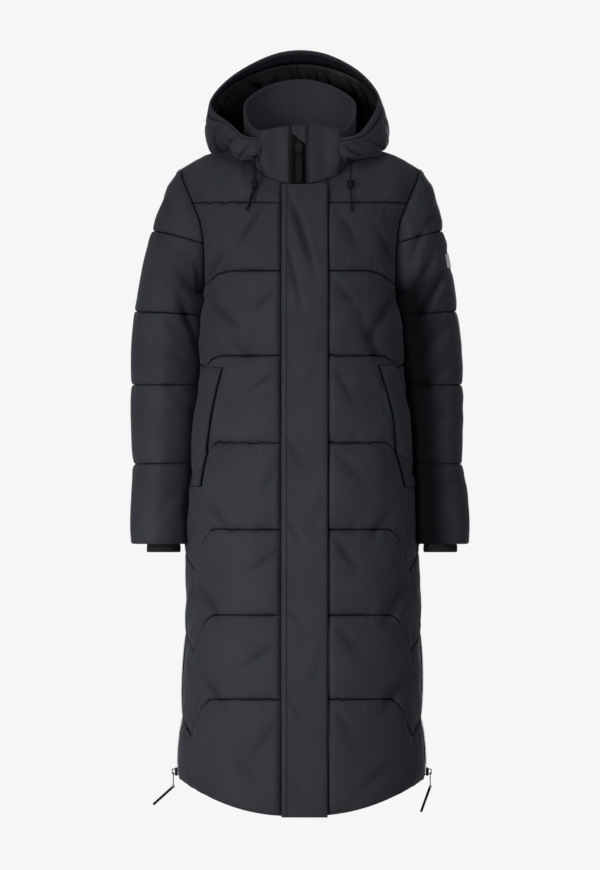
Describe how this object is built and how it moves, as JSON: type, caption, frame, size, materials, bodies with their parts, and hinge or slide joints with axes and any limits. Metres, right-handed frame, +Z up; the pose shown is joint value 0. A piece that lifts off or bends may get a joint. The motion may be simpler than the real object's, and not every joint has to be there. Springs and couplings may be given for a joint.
{
  "type": "long hooded puffer coat",
  "caption": "Long quilted puffer coat, filled out as worn, with hood round a stand collar, storm flap over the front zip, slanted pockets and zips in the side seams",
  "frame": {"origin": "in the neck opening, level with the tip of the shoulders and 15 mm above them, on the middle line of the shoulders, where the wearer's neck and shoulders hold the coat up", "axes": "+Z up along the coat, the front faces -Y, +X towards the wearer's left"},
  "size_m": [0.5728, 0.325, 1.3008],
  "materials": {
    "shell": "dark charcoal matte softshell, quilted and padded",
    "lining": "black polyester lining, slightly shiny",
    "rib_knit": "black rib knit",
    "zip_tape": "black woven zip tape with moulded teeth",
    "cord": "black braided cord",
    "metal": "dark gunmetal",
    "rubber": "matte black rubber",
    "patch": "plain light woven patch"
  },
  "bodies": {
    "coat": {"front_right": "shell", "sleeve_right": "shell", "rib_cuff_right": "rib_knit", "pocket_welt_right": "shell", "side_zip_right": "zip_tape", "front_left": "shell", "sleeve_left": "shell", "rib_cuff_left": "rib_knit", "pocket_welt_left": "shell", "side_zip_left": "zip_tape", "back_panel": "shell", "collar": "shell", "collar_tab_right": "shell", "collar_tab_left": "shell", "chin_guard": "shell", "front_zip": "zip_tape", "storm_flap": "shell", "flap_strip": "shell", "hood_side_right": "shell", "hood_centre": "shell", "hood_side_left": "shell", "hood_lining": "lining", "front_slider": "metal", "side_slider_right": "metal", "side_slider_left": "metal", "cord_right_long": "cord", "tip_right_long": "rubber", "cord_right_short": "cord", "tip_right_short": "rubber", "cord_left": "cord", "tip_left": "rubber", "eyelet_right": "metal", "eyelet_left": "metal", "stopper_right": "rubber", "stopper_left": "rubber", "sleeve_patch": "patch"},
    "front_link": {"front_link": "metal"},
    "front_tab": {"front_tab": "rubber"},
    "side_link_right": {"side_link_right": "metal"},
    "side_tab_right": {"side_tab_right": "rubber"},
    "side_link_left": {"side_link_left": "metal"},
    "side_tab_left": {"side_tab_left": "rubber"}
  },
  "joints": [
    {"name": "front_link_swing", "type": "hinge", "parent": "coat", "child": "front_link", "pos_m": [-0.002, -0.10053, 0.0195], "axis": [-1, 0, 0], "range_deg": [0, 120]},
    {"name": "front_tab_swing", "type": "hinge", "parent": "front_link", "child": "front_tab", "pos_m": [-0.002, -0.10053, 0.0105], "axis": [-1, 0, 0], "range_deg": [0, 48]},
    {"name": "side_link_swing_right", "type": "hinge", "parent": "coat", "child": "side_link_right", "pos_m": [-0.21592, 0, -1.0425], "axis": [0, 1, 0], "range_deg": [0, 120]},
    {"name": "side_tab_swing_right", "type": "hinge", "parent": "side_link_right", "child": "side_tab_right", "pos_m": [-0.21592, 0, -1.0665], "axis": [0, 1, 0], "range_deg": [-46, 10]},
    {"name": "side_link_swing_left", "type": "hinge", "parent": "coat", "child": "side_link_left", "pos_m": [0.22192, 0, -1.0425], "axis": [0, -1, 0], "range_deg": [0, 120]},
    {"name": "side_tab_swing_left", "type": "hinge", "parent": "side_link_left", "child": "side_tab_left", "pos_m": [0.22192, 0, -1.0665], "axis": [0, -1, 0], "range_deg": [-4, 70]}
  ]
}
